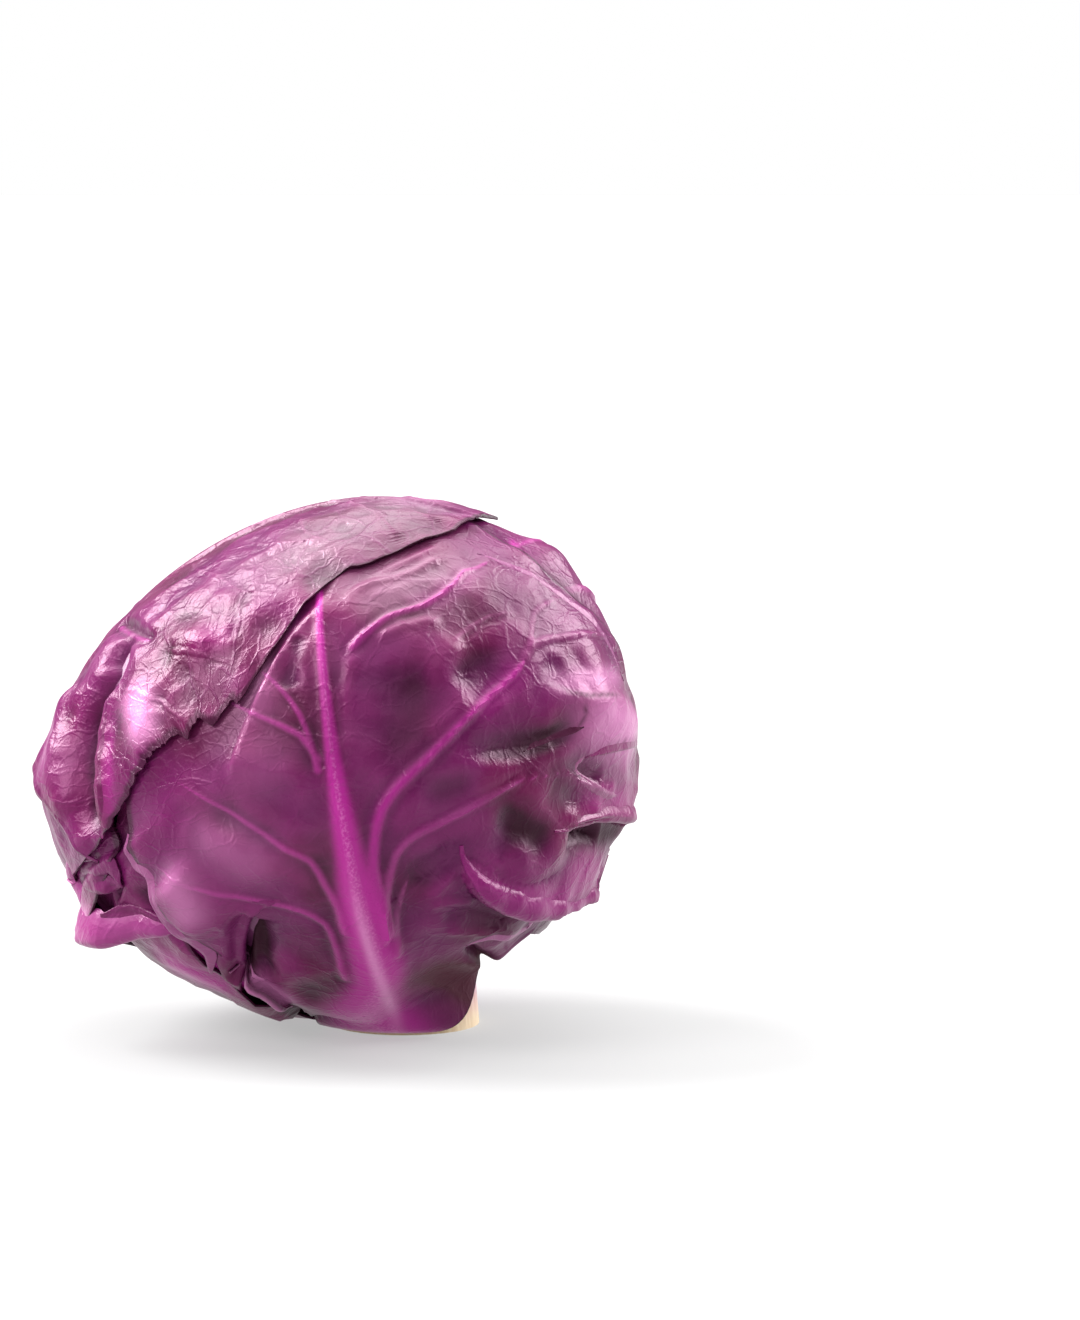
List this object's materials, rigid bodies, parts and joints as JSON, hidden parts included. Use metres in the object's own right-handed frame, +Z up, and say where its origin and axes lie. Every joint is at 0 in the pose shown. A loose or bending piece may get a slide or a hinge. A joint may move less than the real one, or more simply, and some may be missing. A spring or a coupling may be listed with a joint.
{
  "type": "red cabbage",
  "caption": "Dense, slightly leaning red cabbage head in overlapping ribbed wrapper leaves, resting upright on its flat cut stem.",
  "frame": {"origin": "middle of the cut stem's flat face, on the surface that the cabbage stands on", "axes": "+Z up, -Y to the front, where the thick midrib runs from the stem to the crown, +X to the right as seen from the front; the head leans towards -X"},
  "size_m": [0.1689, 0.1627, 0.1463],
  "materials": {
    "wrapper_leaf": "satin plum-purple leaf with a pale waxy bloom and brighter magenta ribs",
    "inner_leaf": "satin paler purple leaf, tightly packed",
    "cut_stem": "matt cream cut flesh with a faint pink edge"
  },
  "bodies": {
    "root": {"stem": "cut_stem", "inner_head": "inner_leaf", "leaf_left_base": "wrapper_leaf", "leaf_back_right": "wrapper_leaf", "leaf_left_mid": "wrapper_leaf", "leaf_right": "wrapper_leaf", "leaf_left_low": "wrapper_leaf", "leaf_back_left": "wrapper_leaf", "leaf_back": "wrapper_leaf", "leaf_front": "wrapper_leaf", "leaf_left": "wrapper_leaf"}
  },
  "joints": []
}
